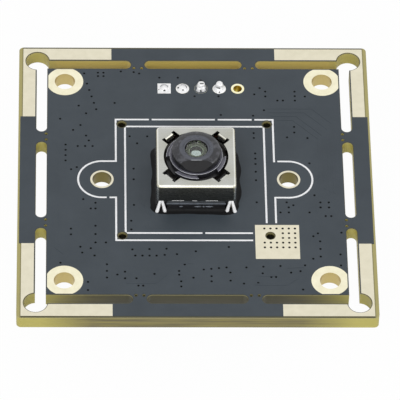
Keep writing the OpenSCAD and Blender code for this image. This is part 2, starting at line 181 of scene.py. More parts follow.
def blendTones(tree, source, dark, light, start=0.3, end=0.7):
    return toneRamp(tree, source, (start, dark), (end, light))


# bump of depth millimetres from a pattern
def raiseSurface(tree, shader, source, depth, strength=1.0):
    bump = addNode(tree, "ShaderNodeBump", {"Distance": depth * millimetre, "Strength": strength})
    tree.links.new(source, bump.inputs["Height"])
    tree.links.new(bump.outputs["Normal"], shader.inputs["Normal"])


# two close tones in soft blotches, uneven gloss and a fine grain
def mottled(name, dark, light, patch=1.5, rough=(0.35, 0.5), grain=0.12, depth=0.003,
            metal=0.0, stretch=(1, 1, 1), **values):
    finish, tree, shader = startFinish(name, Metallic=metal, **values)
    place = placeOn(tree, stretch)
    fine = speckle(tree, place, grain, detail=4.0)
    tree.links.new(blendTones(tree, speckle(tree, place, patch), paint(*dark), paint(*light)),
                   shader.inputs["Base Color"])
    tree.links.new(spread(tree, fine, *rough), shader.inputs["Roughness"])
    raiseSurface(tree, shader, fine, depth)
    return finish


finishes = {}
print("finishes")

# pale gold plating; the walls of the holes are more golden and painted darker, painted shade in
# the holes
platingLook = {"flat": paint(222, 216, 193), "bright": paint(230, 224, 202),
               "wall": paint(174, 156, 100)}
eyeletLook = {"flat": paint(236, 230, 200), "bright": paint(248, 243, 216),
              "wall": paint(196, 177, 118)}
sideHoleLook = {"flat": paint(222, 216, 193), "bright": paint(230, 224, 202),
                "wall": paint(118, 108, 66)}
headerLook = {"flat": paint(250, 244, 200), "bright": paint(254, 251, 218),
              "wall": paint(222, 198, 92)}


def platedFinish(name, look):
    finish, tree, shader = startFinish(name, Metallic=1.0)
    upright = calculate(tree, "ABSOLUTE", axisParts(tree, "Normal")["Z"])
    place = placeOn(tree)
    fine = speckle(tree, place, 0.09, detail=4.0)
    flat = blendTones(tree, speckle(tree, place, 0.9), look["flat"], look["bright"])
    # walls take the darker wall tone: painted shade in the holes
    tones = mixTones(tree, spread(tree, upright, 0.0, 1.0, 0.3, 0.8), look["wall"], flat)
    tree.links.new(tones, shader.inputs["Base Color"])
    tree.links.new(spread(tree, fine, 0.28, 0.38), shader.inputs["Roughness"])
    raiseSurface(tree, shader, fine, 0.0008)
    return finish


# bare laminate: layers of woven glass in yellowish resin, darker on the walls of the front slots
laminateLook = {"dark": paint(94, 86, 55), "middle": paint(119, 110, 66),
                "light": paint(186, 176, 92), "warm": paint(192, 173, 94),
                "charred": paint(78, 75, 52), "arris": paint(168, 160, 112), "ply": 0.4,
                "corner": (11.0, 16.5), "rearSlots": (15.5, 15.8), "rearEnds": (14.8, 16.0),
                "frontSlots": 16.5, "slotEdge": (0.7, 0.9), "frontEnds": (8.5, 15.0),
                "arrisHeight": (1.46, 1.54), "bareEnds": (18.5, 18.7)}


def laminateFinish():
    look = laminateLook
    finish, tree, shader = startFinish("laminateEdge")
    spot = axisParts(tree, "Object")
    plies = addNode(tree, "ShaderNodeTexNoise", {"Scale": 1.0, "Detail": 2.0})
    tree.links.new(placeOn(tree, (60, 60, 1000 / look["ply"])), plies.inputs["Vector"])
    fibres = addNode(tree, "ShaderNodeTexNoise", {"Scale": 1.0, "Detail": 4.0})
    tree.links.new(placeOn(tree, (250, 250, 5000)), fibres.inputs["Vector"])
    layers = blendTones(tree, plies.outputs["Fac"], look["dark"], look["middle"], 0.4, 0.6)
    glassy = mixTones(tree, spread(tree, fibres.outputs["Fac"], 0.0, 0.22, 0.4, 0.7), layers,
                      look["light"])
    # clear yellow resin towards the corners
    sideways = calculate(tree, "ABSOLUTE", spot["X"])
    tones = mixTones(tree, across(tree, sideways, 0.0, 0.85, look["corner"]), glassy,
                     look["light"])
    # warmer walls in the slots behind the header, darker ones in the front slots
    rear = calculate(tree, "MULTIPLY", across(tree, spot["Y"], 0.0, 1.0, look["rearSlots"]),
                     across(tree, sideways, 1.0, 0.2, look["rearEnds"]))
    tones = mixTones(tree, rear, tones, look["warm"])
    away = calculate(tree, "ABSOLUTE",
                     calculate(tree, "ADD", spot["Y"], look["frontSlots"] * millimetre))
    charred = calculate(tree, "MULTIPLY", across(tree, away, 1.0, 0.0, look["slotEdge"]),
                        across(tree, sideways, 1.0, 0.15, look["frontEnds"]))
    tones = mixTones(tree, charred, tones, look["charred"])
    # pale band along the top of the routed walls: a painted highlight on the arris
    tones = mixTones(tree, across(tree, spot["Z"], 0.0, 0.7, look["arrisHeight"]), tones,
                     look["arris"])
    # the narrow bare faces along the front and back edges look dark
    upward = spread(tree, axisParts(tree, "Normal")["Z"], 0.0, 1.0, 0.4, 0.7)
    bare = calculate(tree, "MULTIPLY", upward, across(tree, sideways, 1.0, 0.0, look["bareEnds"]))
    tones = mixTones(tree, bare, tones, look["charred"])
    tree.links.new(tones, shader.inputs["Base Color"])
    tree.links.new(spread(tree, fibres.outputs["Fac"], 0.35, 0.6), shader.inputs["Roughness"])
    raiseSurface(tree, shader, plies.outputs["Fac"], 0.01, 0.5)
    return finish


finishes["laminate"] = laminateFinish()
finishes["solder_mask"] = mottled(
    "maskCoat", (54, 62, 69), (61, 69, 76), patch=3.5, rough=(0.4, 0.5), grain=0.5,
    depth=0.0025, **{"Specular IOR Level": 0.4})
finishes["gold_plate"] = platedFinish("palePlating", platingLook)
finishes["ringPlating"] = platedFinish("ringPlating", eyeletLook)
finishes["headerPlating"] = platedFinish("headerPlating", headerLook)
finishes["sidePlating"] = platedFinish("sidePlating", sideHoleLook)
finishes["legend_ink"] = mottled(
    "legendInk", (242, 243, 246), (254, 254, 255), patch=0.3, rough=(0.5, 0.65), grain=0.08,
    depth=0.004)
finishes["silicon"] = mottled(
    "siliconDie", (38, 46, 62), (66, 60, 84), patch=1.2, rough=(0.1, 0.18), grain=0.05,
    depth=0.0004, metal=0.4)
finishes["black_plastic"] = mottled(
    "blackMoulding", (20, 20, 22), (31, 31, 34), patch=0.8, rough=(0.32, 0.48), grain=0.05,
    depth=0.002)
finishes["baseMoulding"] = mottled(
    "baseMoulding", (52, 55, 58), (72, 76, 80), patch=0.5, rough=(0.25, 0.4), grain=0.05)
finishes["adhesive"] = mottled(
    "blackAdhesive", (9, 9, 10), (15, 16, 18), patch=0.7, rough=(0.35, 0.55), grain=0.3,
    depth=0.006, **{"Specular IOR Level": 0.12})
finishes["spring_metal"] = mottled(
    "springAlloy", (206, 184, 142), (232, 214, 178), patch=0.5, rough=(0.22, 0.36), grain=0.06,
    depth=0.001, metal=1.0, stretch=(1, 4, 1))
finishes["darkSpring"] = mottled(
    "oxidisedSpring", (24, 23, 22), (38, 36, 34), patch=0.4, rough=(0.3, 0.45), grain=0.06,
    depth=0.001, metal=1.0)
# near-white solder: its bright tin tone with a painted reflection of the white surroundings
finishes["solder"] = mottled(
    "brightSolder", (253, 253, 254), (255, 255, 255), patch=0.35, rough=(0.16, 0.3), grain=0.12,
    depth=0.006, metal=0.06)
finishes["magnet"] = mottled(
    "platedMagnet", (160, 162, 166), (190, 192, 196), patch=0.4, rough=(0.25, 0.38), grain=0.06,
    depth=0.001, metal=1.0)
# pale strips for edges: painted highlights
finishes["rubbedEdge"] = mottled(
    "rubbedEdge", (150, 152, 158), (200, 202, 208), patch=0.25, rough=(0.25, 0.4), grain=0.05,
    depth=0.002)
finishes["white_plastic"] = mottled(
    "naturalMoulding", (226, 223, 210), (238, 236, 226), patch=1.2, rough=(0.38, 0.5),
    grain=0.08, depth=0.002, **{"Subsurface Weight": 0.15, "Subsurface Scale": 0.0008})
finishes["tinned_metal"] = mottled(
    "tinPlating", (196, 196, 194), (226, 226, 224), patch=0.3, rough=(0.24, 0.4), grain=0.06,
    depth=0.0015, metal=1.0)
finishes["moulded_epoxy"] = mottled(
    "chipMoulding", (34, 35, 37), (44, 45, 48), patch=0.8, rough=(0.48, 0.62), grain=0.05)
finishes["ceramic"] = mottled(
    "firedCeramic", (206, 196, 176), (222, 214, 198), patch=0.4, rough=(0.4, 0.55), grain=0.06,
    depth=0.002)
finishes["crystal_metal"] = mottled(
    "brushedLid", (186, 186, 186), (214, 214, 214), patch=0.25, rough=(0.26, 0.4), grain=0.05,
    depth=0.001, metal=1.0, stretch=(0.2, 3, 1))
finishes["ferrite"] = mottled(
    "pressedFerrite", (52, 53, 56), (72, 72, 75), patch=0.2, rough=(0.5, 0.7), grain=0.06,
    depth=0.006)
finishes["capacitor_ceramic"] = mottled(
    "capacitorBody", (140, 112, 80), (168, 138, 102), patch=0.3, grain=0.05, depth=0.002)

# moulded carrier: upper faces on the rim painted pale as painted light, ledges and walls below
# painted dark as painted shade
carrierLook = {"deep": paint(17, 17, 20), "wall": paint(30, 30, 35), "face": paint(70, 70, 80),
               "dust": paint(98, 97, 108), "ledge": (5.05, 5.25)}


def carrierFinish():
    look = carrierLook
    finish, tree, shader = startFinish("carrierMoulding")
    upward = spread(tree, axisParts(tree, "Normal")["Z"], 0.0, 1.0, 0.2, 0.9)
    place = placeOn(tree)
    dustyLitFace = blendTones(tree, speckle(tree, place, 0.5), look["face"], look["dust"])
    # faces below the ledge height take the deep tone and faces that do not face up the wall tone:
    # painted shade
    high = across(tree, axisParts(tree, "Object")["Z"], 0.0, 1.0, look["ledge"])
    tones = mixTones(tree, high, look["deep"], mixTones(tree, upward, look["wall"], dustyLitFace))
    fine = speckle(tree, place, 0.07, detail=4.0)
    tree.links.new(tones, shader.inputs["Base Color"])
    tree.links.new(spread(tree, fine, 0.3, 0.45), shader.inputs["Roughness"])
    raiseSurface(tree, shader, fine, 0.003)
    return finish


finishes["carrier_plastic"] = carrierFinish()

# moulded barrel: sides painted dark as painted shade, a paler front ring, a dark shoulder with
# pale blotches, a painted reflection
barrelLook = {"side": paint(24, 25, 28), "shoulder": paint(40, 41, 46), "mark": paint(96, 97, 104),
              "ring": paint(70, 73, 82), "dust": paint(82, 85, 94), "ringEdge": (1.77, 1.85)}


def barrelFinish():
    look = barrelLook
    finish, tree, shader = startFinish("barrelMoulding")
    place = placeOn(tree)
    # pale blotches on the dark shoulder: painted highlights
    highlightMarks = blendTones(tree, speckle(tree, placeOn(tree, (1, 1, 0.6)), 0.75, detail=4.0),
                       look["shoulder"], look["mark"], 0.5, 0.72)
    ring = blendTones(tree, speckle(tree, place, 0.6), look["ring"], look["dust"])
    outside = across(tree, fromAxis(tree), 0.0, 1.0, look["ringEdge"])
    # faces that do not face up take the dark side tone: painted shade
    upward = spread(tree, axisParts(tree, "Normal")["Z"], 0.0, 1.0, 0.1, 0.7)
    tones = mixTones(tree, upward, look["side"], mixTones(tree, outside, ring, highlightMarks))
    tree.links.new(tones, shader.inputs["Base Color"])
    tree.links.new(spread(tree, speckle(tree, place, 0.9), 0.24, 0.42, 0.4, 0.6),
                   shader.inputs["Roughness"])
    raiseSurface(tree, shader, speckle(tree, place, 0.05, detail=4.0), 0.0016)
    return finish


finishes["barrel_plastic"] = barrelFinish()

# drawn steel sheet: bends and upright corners painted bright as painted highlights, rolled grain
# on top, sides painted dark as painted shade
coverLook = {"side": paint(98, 99, 96), "fold": paint(190, 188, 174),
             "bend": paint(238, 238, 233), "top": paint(190, 191, 186), "cloud": 2.2,
             "grain": 0.12}


def coverFinish():
    look = coverLook
    finish, tree, shader = startFinish("drawnSteel", Metallic=1.0)
    facing = axisParts(tree, "Normal")
    # tone by facing: dark sides are painted shade, bright bends are painted highlights
    tones = toneRamp(tree, facing["Z"], (0.12, look["side"]), (0.999, look["top"]),
                     ((0.3, look["fold"]), (0.78, look["fold"]), (0.87, look["bend"]),
                      (0.96, look["bend"])))
    # upright corners painted bright: a painted highlight
    corner = calculate(tree, "ABSOLUTE", calculate(tree, "MULTIPLY", facing["X"], facing["Y"]))
    tones = mixTones(tree, spread(tree, corner, 0.0, 1.0, 0.3, 0.47), tones, look["bend"])
    clouds = blendTones(tree, speckle(tree, placeOn(tree), look["cloud"]),
                        (0.9, 0.89, 0.84, 1), (1, 1, 1, 1), 0.35, 0.6)
    tree.links.new(mixTones(tree, 1.0, tones, clouds, "MULTIPLY"), shader.inputs["Base Color"])
    rolled = speckle(tree, placeOn(tree, (0.08, 1.6, 1)), look["grain"], detail=4.0)
    tree.links.new(spread(tree, rolled, 0.22, 0.3), shader.inputs["Roughness"])
    raiseSurface(tree, shader, rolled, 0.0003)
    return finish


finishes["cover_metal"] = coverFinish()

wireLook = {"gap": paint(52, 28, 16), "turn": paint(110, 64, 38), "pitch": 0.314}


# turns of lacquered wire: at scale 1 the wave texture runs through 20 radians in a metre
def windingFinish():
    look = wireLook
    finish, tree, shader = startFinish("woundWire", Metallic=0.9, Roughness=0.3)
    scale = math.tau / (20 * look["pitch"] * millimetre)
    turns = addNode(tree, "ShaderNodeTexWave", {"Scale": scale, "Distortion": 0.3},
                    bands_direction="Z")
    tree.links.new(placeOn(tree), turns.inputs["Vector"])
    # darker gaps between the turns: painted shade
    tree.links.new(blendTones(tree, turns.outputs["Fac"], look["gap"], look["turn"], 0.1, 0.9),
                   shader.inputs["Base Color"])
    raiseSurface(tree, shader, turns.outputs["Fac"], 0.02)
    return finish


finishes["copper_wire"] = windingFinish()


# coated glass: clear, with a weak coloured sheen from its coating
def glassFinish(name, tint, coat):
    finish, tree, shader = startFinish(
        name, IOR=1.5, **{"Transmission Weight": 1.0, "Base Color": tint, "Coat Weight": 0.6,
                          "Coat Roughness": 0.02, "Coat Tint": coat})
    dust = speckle(tree, placeOn(tree), 0.25, detail=5.0)
    tree.links.new(spread(tree, dust, 0.01, 0.06, 0.55, 0.8), shader.inputs["Roughness"])
    return finish


finishes["lens_glass"] = glassFinish("coatedLens", paint(222, 236, 232), paint(170, 205, 225))
finishes["filter_glass"] = glassFinish("filterPane", paint(196, 226, 232), paint(220, 150, 170))
finishes["frontGlass"] = startFinish(            # well coated, so it hardly mirrors
    "frontGlass", Roughness=0.0, IOR=1.5,
    **{"Transmission Weight": 1.0, "Base Color": paint(238, 243, 236),
       "Specular IOR Level": 0.12})[0]

# rings of painted reflection about the optical axis, seen through the clear front element: a pale
# painted highlight at the centre and on the stop's inner edge, olive painted ghost reflections,
# dark between
reflectionRingLook = {"deep": paint(13, 16, 15), "dim": paint(26, 31, 25), "olive": paint(68, 76, 54),
            "pale": paint(116, 126, 108), "pupil": paint(196, 203, 211), "reach": 1.5,
            "stop": ((0.45, "pale"), (0.48, "pale"), (0.51, "dim"), (0.56, "olive"),
                     (0.6, "dim"), (0.65, "olive"), (0.7, "olive"), (0.77, "dim")),
            "element": ((0.32, "pupil"), (0.35, "deep"))}


def reflectionRingFinish(name, rings, inner, rough):
    look = reflectionRingLook
    finish, tree, shader = startFinish(name, Metallic=1.0, Roughness=rough)
    wobble = spread(tree, speckle(tree, placeOn(tree), 0.4), -0.00004, 0.00004)
    out = calculate(tree, "ADD", fromAxis(tree), wobble)
    tones = toneRamp(tree, across(tree, out, 0.0, 1.0, (0, look["reach"])),
                     (0.0, look[inner]), (1.0, look["deep"]),
                     [(position, look[tone]) for position, tone in rings])
    tree.links.new(tones, shader.inputs["Base Color"])
    return finish


finishes["stopSheet"] = reflectionRingFinish("stopSheet", reflectionRingLook["stop"], "pale", 0.3)
finishes["innerGlass"] = reflectionRingFinish("innerGlass", reflectionRingLook["element"], "pupil", 0.08)


# building helpers

# turns a profile of (radius, height) points about a vertical axis
def spinProfile(work, points, steps=96, centre=(0, 0), angle=2 * math.pi, lift=0.0):
    x, y = centre
    verts = [work.verts.new((x + radius, y, height)) for radius, height in points]
    edges = [work.edges.new(pair) for pair in zip(verts, verts[1:])]
    full = abs(angle - 2 * math.pi) < 1e-6 and lift == 0
    bmesh.ops.spin(work, geom=verts + edges, cent=(x, y, 0), axis=(0, 0, 1),
                   dvec=(0, 0, lift / steps), angle=angle, steps=steps, use_merge=full,
                   use_duplicate=False)
    bmesh.ops.remove_doubles(work, verts=work.verts, dist=1e-5)
    bmesh.ops.recalc_face_normals(work, faces=work.faces)


def addBox(work, low, high):
    size = [h - l for l, h in zip(low, high)]
    middle = [(l + h) / 2 for l, h in zip(low, high)]
    made = bmesh.ops.create_cube(work, size=1)["verts"]
    bmesh.ops.scale(work, vec=size, verts=made)
    bmesh.ops.translate(work, vec=middle, verts=made)
    return made


def addRod(work, low, high, radius, top=None, sides=24, at=(0, 0)):
    made = bmesh.ops.create_cone(work, cap_ends=True, segments=sides, radius1=radius,
                                 radius2=radius if top is None else top,
                                 depth=high - low)["verts"]
    bmesh.ops.translate(work, vec=(at[0], at[1], (low + high) / 2), verts=made)
    return made


# moves one working mesh into another
def copyInto(part, whole):
    mesh = bpy.data.meshes.new("hold")
    part.to_mesh(mesh)
    part.free()
    whole.from_mesh(mesh)
    bpy.data.meshes.remove(mesh)


# a thin bead along part of a circle, angles in degrees
def addArc(work, radius, height, thin, start, span, centre=(0, 0)):
    part = bmesh.new()
    profile = [(radius - thin, height), (radius, height + thin), (radius + thin, height),
               (radius, height - thin), (radius - thin, height)]
    spinProfile(part, profile, steps=max(12, round(span / 4)), angle=math.radians(span),
                centre=centre)
    bmesh.ops.rotate(part, cent=(centre[0], centre[1], 0), verts=part.verts,
                     matrix=Matrix.Rotation(math.radians(start), 3, "Z"))
    bmesh.ops.holes_fill(part, edges=[e for e in part.edges if e.is_boundary], sides=0)
    copyInto(part, work)


def smoothFaces(piece, sharpFrom):
    piece.data.shade_smooth()
    piece.data.set_sharp_from_angle(angle=math.radians(sharpFrom))


# rounds the edges sharper than an angle in degrees
def softenEdges(piece, width, sharpFrom):
    soften = piece.modifiers.new("softEdges", "BEVEL")
    soften.width = width * millimetre
    soften.segments = 2
    soften.limit_method = "ANGLE"
    soften.angle_limit = math.radians(sharpFrom)
    soften.harden_normals = True


# scales the mesh from millimetres, gives it its finish and lets it ride
def makePiece(name, work, finish, body="board", replaced=(), smooth=38,
              bevel=None):
    bmesh.ops.transform(work, matrix=Matrix.Scale(millimetre, 4), verts=work.verts)
    mesh = bpy.data.meshes.new(name)
    work.to_mesh(mesh)
    work.free()
    piece = bpy.data.objects.new(name, mesh)
    scene.collection.objects.link(piece)
    mesh.materials.append(finish)
    smoothFaces(piece, smooth)
    if bevel:
        softenEdges(piece, bevel, 35)
    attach(piece, body)
    if replaced:
        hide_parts(*replaced)
    return piece


# a merged working copy of a CAD node, in millimetres
def nodeMesh(name):
    work = bmesh.new()
    work.from_mesh(nodes[name].data)
    bmesh.ops.transform(work, matrix=Matrix.Scale(1 / millimetre, 4), verts=work.verts)
    bmesh.ops.remove_doubles(work, verts=work.verts, dist=2e-4)
    bmesh.ops.join_triangles(work, faces=work.faces, angle_face_threshold=math.radians(1),
                             angle_shape_threshold=math.radians(60))
    return work


# takes the closed shapes in work out of a piece for good
def cutAway(piece, work):
    bmesh.ops.transform(work, matrix=Matrix.Scale(millimetre, 4), verts=work.verts)
    mesh = bpy.data.meshes.new("cutter")
    work.to_mesh(mesh)
    work.free()
    cutter = bpy.data.objects.new("cutter", mesh)
    scene.collection.objects.link(cutter)
    hole = piece.modifiers.new("hole", "BOOLEAN")
    hole.object = cutter
    hole.operation = "DIFFERENCE"
    hole.solver = "EXACT"
    hole.use_self = True
    bpy.context.view_layer.update()
    cutMesh = bpy.data.meshes.new_from_object(
        piece.evaluated_get(bpy.context.evaluated_depsgraph_get()))
    piece.modifiers.clear()
    piece.data = cutMesh
    bpy.data.objects.remove(cutter)
    bpy.data.meshes.remove(mesh)


# carried-over nodes
print("carried-over nodes")
for name, node in nodes.items():
    node.data.materials.clear()
    node.data.materials.append(finishes[slotOf[name]])

# nodes that keep their shape, with the width of their softened edges
dressed = {"sensor_holder": 0.04, "actuator_base": 0.04, "video_processor": 0.05,
           "flash_memory": 0.06, "crystal_base": 0.04, "crystal_lid": 0.05, "regulators": 0.06,
           "inductor_cores": 0.08, "inductor_terminals": 0.02, "capacitor_bodies": 0.03,
           "capacitor_ends": 0.05, "resistor_bodies": 0.015, "resistor_ends": 0.025,
           "focus_driver": 0.03, "connector_housing": 0.08, "magnets": 0.04,
           "spring_spacer": 0.02, "terminal_pins": 0.02, "flash_leads": 0.02,
           "regulator_leads": 0.015, "processor_terminals": 0.015, "coil": 0.04, "carrier": 0.07}
# nodes whose finish differs from their slot's
ownFinish = {"upper_spring": "darkSpring", "mounting_eyelets": "ringPlating",
             "header_eyelets": "headerPlating", "holder_eyelets": "sidePlating",
             "actuator_base": "baseMoulding"}


def camelName(name):
    return "dressed" + "".join(word.capitalize() for word in name.split("_"))


# the node's own shape with softened edges, in its place
def dressNode(name, width):
    makePiece(camelName(name), nodeMesh(name), finishes[ownFinish.get(name, slotOf[name])],
              body=bodyOf[name], replaced=(name,), bevel=width)


for name, finish in ownFinish.items():
    nodes[name].data.materials[0] = finishes[finish]
for name, width in dressed.items():
    dressNode(name, width)

coilRoom = {"above": 4.5, "drop": 0.21}


# the coil's top stays under the upper spring over the whole travel
def lowerCoil():
    for point in bpy.data.objects[camelName("coil")].data.vertices:
        if point.co.z > coilRoom["above"] * millimetre:
            point.co.z -= coilRoom["drop"] * millimetre


lowerCoil()

carrierEdges = {      # rings: radius, height, start angle and span
    "thin": 0.03, "rings": ((2.8, 4.05, 0, 360), (3.15, 3.8, 43.6, 46.8), (3.15, 3.8, 133.6, 47.8),
                            (3.15, 3.8, 224.6, 49.8), (3.15, 3.8, 317.6, 42.8))}


# pale painted highlights on the edges of the carrier's collar and rim
def makeCarrierHighlights():
    work = bmesh.new()
    for radius, height, start, span in carrierEdges["rings"]:
        addArc(work, radius, face + height, carrierEdges["thin"], start, span)
    makePiece("carrierEdges", work, finishes["rubbedEdge"], body="lens_carriage")


makeCarrierHighlights()

# actuator cover
print("actuator cover")
coverSize = {"wide": 8.5, "low": 1.46, "high": 3.77, "corner": 0.45, "bend": 0.3, "sheet": 0.2,
             "opening": 3.45, "tabReach": 4.15, "tabHalf": 0.53, "notchAt": 0.72,
             "notchHalf": 0.19, "notchReach": 4.22, "tabLength": 1.1, "tabBend": 0.3,
             "innerBend": 0.08, "cutLow": 2.5, "cutHigh": 5.0}


# block with rounded upright corners and a rounded top edge
def roundedBlock(work, wide, low, high, corner, bend, cornerSteps=10, bendSteps=8):
    addBox(work, (-wide / 2, -wide / 2, low), (wide / 2, wide / 2, high))
    upright = [e for e in work.edges if abs(e.verts[0].co.z - e.verts[1].co.z) > 0.1]
    bmesh.ops.bevel(work, geom=upright, offset=corner, segments=cornerSteps, profile=0.5,
                    affect="EDGES", material=-1)
    if bend:
        rim = [e for e in work.edges if all(abs(v.co.z - high) < 1e-5 for v in e.verts)]
        bmesh.ops.bevel(work, geom=rim, offset=bend, segments=bendSteps, profile=0.5,
                        affect="EDGES", material=-1)


# one yoke tab: the sheet bends down at the opening and hangs as a tongue
def addTab(work, turn):
    size = coverSize
    top = face + size["high"]
    corners = [work.verts.new((size["tabReach"], side * size["tabHalf"], top - depth))
               for side, depth in ((-1, 0), (1, 0), (1, size["sheet"]), (-1, size["sheet"]))]
    start = work.faces.new(corners)
    turned = bmesh.ops.spin(work, geom=[start], cent=(size["tabReach"], 0, top - size["tabBend"]),
                            axis=(0, 1, 0), dvec=(0, 0, 0), angle=-math.pi / 2, steps=8,
                            use_merge=False, use_duplicate=False)["geom_last"]
    end = [g for g in turned if isinstance(g, bmesh.types.BMFace)]
    pushed = bmesh.ops.extrude_face_region(work, geom=end)["geom"]
    tip = [g for g in pushed if isinstance(g, bmesh.types.BMVert)]
    bmesh.ops.translate(work, vec=(0, 0, -size["tabLength"]), verts=tip)
    bmesh.ops.delete(work, geom=end, context="FACES_ONLY")
    bmesh.ops.rotate(work, cent=(0, 0, 0), matrix=Matrix.Rotation(turn, 3, "Z"),
                     verts=[v for v in work.verts if not v.tag])
    for vert in work.verts:
        vert.tag = True


def makeCover():
    size = coverSize
    work = bmesh.new()
    roundedBlock(work, size["wide"], face + size["low"], face + size["high"], size["corner"],
                 size["bend"])
    cover = makePiece("actuatorCover", work, finishes["cover_metal"],
                      replaced=("actuator_cover",), smooth=40)
    cavity = bmesh.new()
    roundedBlock(cavity, size["wide"] - 2 * size["sheet"], face + size["low"] - 1,
                 face + size["high"] - size["sheet"], size["corner"] - size["sheet"],
                 size["innerBend"], 8, 4)
    cutAway(cover, cavity)
    opening = bmesh.new()
    low, high = face + size["cutLow"], face + size["cutHigh"]
    addRod(opening, low, high, size["opening"], sides=160)
    cutAway(cover, opening)
    for quarter in range(4):
        turn = Matrix.Rotation(math.radians(45 + 90 * quarter), 3, "Z")
        blanks = [(0, size["tabHalf"], size["tabReach"], 0.1)]     # middle, half, reach, extra
        for side in (-1, 1):
            blanks.append((side * size["notchAt"], size["notchHalf"], size["notchReach"], 0.2))
        for middle, half, reach, extra in blanks:
            blank = bmesh.new()
            addBox(blank, (2, middle - half, low - extra), (reach, middle + half, high + extra))
            bmesh.ops.rotate(blank, cent=(0, 0, 0), matrix=turn, verts=blank.verts)
            cutAway(cover, blank)
    work = bmesh.new()
    work.from_mesh(cover.data)
    bmesh.ops.triangulate(work, faces=[f for f in work.faces if len(f.verts) > 4])
    work.to_mesh(cover.data)
    work.free()
    tabs = bmesh.new()
    for quarter in range(4):
        addTab(tabs, math.radians(45 + 90 * quarter))
    bmesh.ops.recalc_face_normals(tabs, faces=tabs.faces)
    makePiece("yokeTabs", tabs, finishes["cover_metal"], bevel=0.03)
    smoothFaces(cover, 40)
    softenEdges(cover, 0.035, 50)


makeCover()

# lens
print("lens")
# near-black for the barrel's mouth and the flat: painted shade
finishes["lightTrap"] = mottled("lightTrap", (12, 12, 14), (18, 18, 21), patch=0.2,
                                rough=(0.5, 0.65), grain=0.04, **{"Specular IOR Level": 0.25})
barrelSize = {"steps": 128, "flatAt": (-1.71, 5.142), "flatTilt": 47, "mouth": (1.22, 4.7),
              "lip": ((-0.58, -1.73, 5.122), (0.58, -1.67, 5.15)),
              "thread": 2.6, "tooth": 0.1, "toothHalf": (0.105, 0.02), "pitch": 0.25,
              "threadLow": 1.75, "threadHigh": 3.95, "threadSteps": 48}


def makeBarrel():
    size = barrelSize
    work = bmesh.new()
    outline = [
        (2.1, 1.2), (2.32, 1.2), (2.35, 1.23), (2.35, 1.5), (2.54, 1.7), (2.54, 4.0),
        (2.59, 4.06), (2.59, 4.76), (2.58, 4.83), (2.55, 4.89), (2.49, 4.94), (2.38, 5.0),
        (2.1, 5.085), (1.84, 5.137), (1.8, 5.142), (1.76, 5.142), (1.52, 5.105), (1.47, 5.09),
        (1.44, 5.05), (1.43, 5.03), (1.24, 5.03), (1.2, 5.0), (1.18, 4.97), (1.17, 4.75),
        (1.3, 4.75), (1.3, 4.2), (1.5, 4.2), (1.5, 3.68), (1.7, 3.68), (1.7, 3.02), (1.9, 3.02),
        (1.9, 2.35), (2.1, 2.35), (2.1, 1.2)]
    spinProfile(work, [(r, z + face) for r, z in outline], steps=size["steps"])
    barrel = makePiece("lensBarrel", work, finishes["barrel_plastic"], body="lens_carriage",
                       replaced=("lens_barrel",), smooth=32)
    cutGate(barrel)


# the slanted flat where the moulding gate was cut off, painted near-black as shade, as the mouth
# is
def cutGate(barrel):
    size = barrelSize
    tilt = math.radians(size["flatTilt"])
    spot = Vector((0, size["flatAt"][0], face + size["flatAt"][1]))
    gate = bmesh.new()
    addBox(gate, (-2, -3, 0), (2, 0, 2))
    bmesh.ops.rotate(gate, cent=(0, 0, 0), verts=gate.verts, matrix=Matrix.Rotation(tilt, 3, "X"))
    bmesh.ops.translate(gate, verts=gate.verts, vec=spot)
    cutAway(barrel, gate)
    smoothFaces(barrel, 32)
    barrel.data.materials.append(finishes["lightTrap"])
    slope = Vector((0, -math.sin(tilt), math.cos(tilt)))
    radius, low = size["mouth"]
    for side in barrel.data.polygons:
        middle = side.center / millimetre
        atFlat = (middle.y < -1.6 and middle.z > face + 4 and side.normal.dot(slope) > 0.999
                  and abs(slope.dot(middle - spot)) < 0.01)
        inMouth = math.hypot(middle.x, middle.y) < radius and middle.z > face + low
        if atFlat or inMouth:
            side.material_index = 1


# painted highlight along the edge above the flat
def makeGateLipHighlight():
    low, high = [(x, y, face + z) for x, y, z in barrelSize["lip"]]
    work = bmesh.new()
    addBox(work, low, high)
    makePiece("gateLip", work, finishes["rubbedEdge"], body="lens_carriage",
              bevel=0.012)


def makeThread():
    size = barrelSize
    work = bmesh.new()
    turns = (size["threadHigh"] - size["threadLow"]) / size["pitch"]
    low = face + size["threadLow"]
    root, crest = size["thread"] - size["tooth"], size["thread"]
    atRoot, atCrest = size["toothHalf"]
    tooth = [(root, low - atRoot), (crest, low - atCrest), (crest, low + atCrest),
             (root, low + atRoot)]
    spinProfile(work, tooth, steps=round(turns * size["threadSteps"]),
                angle=turns * 2 * math.pi, lift=size["threadHigh"] - size["threadLow"])
    makePiece("barrelThread", work, finishes["barrel_plastic"], body="lens_carriage",
              smooth=50)


makeBarrel()
makeGateLipHighlight()
makeThread()


# points of a shallow arc from the axis out to radius, rising by rise at the axis
def arcPoints(radius, height, rise, count):
    ball = (radius * radius + rise * rise) / (2 * abs(rise))
    sign = 1 if rise > 0 else -1
    points = []
    for step in range(count + 1):
        r = radius * step / count
        sag = math.sqrt(ball * ball - r * r) - (ball - abs(rise))
        points.append((r, height + sign * sag))
    return points


lensTable = {   # rim radius, low, high, clear radius, front rise, rear rise
    "lens_1": (1.3, 4.54, 4.75, 1.0, 0.16, -0.02),
    "lens_2": (1.5, 3.78, 4.2, 1.1, -0.09, 0.06),
    "lens_3": (1.7, 3.12, 3.68, 1.3, -0.1, 0.07),
    "lens_4": (1.9, 2.45, 3.02, 1.5, -0.12, 0.06),
    "lens_5": (2.1, 1.65, 2.35, 1.7, -0.1, -0.16)}
lensChamfer = 0.03
frontCrown = {"radius": 1.165, "high": 4.9, "rise": 0.12}
lensLook = {"lens_1": "frontGlass", "lens_2": "innerGlass"}


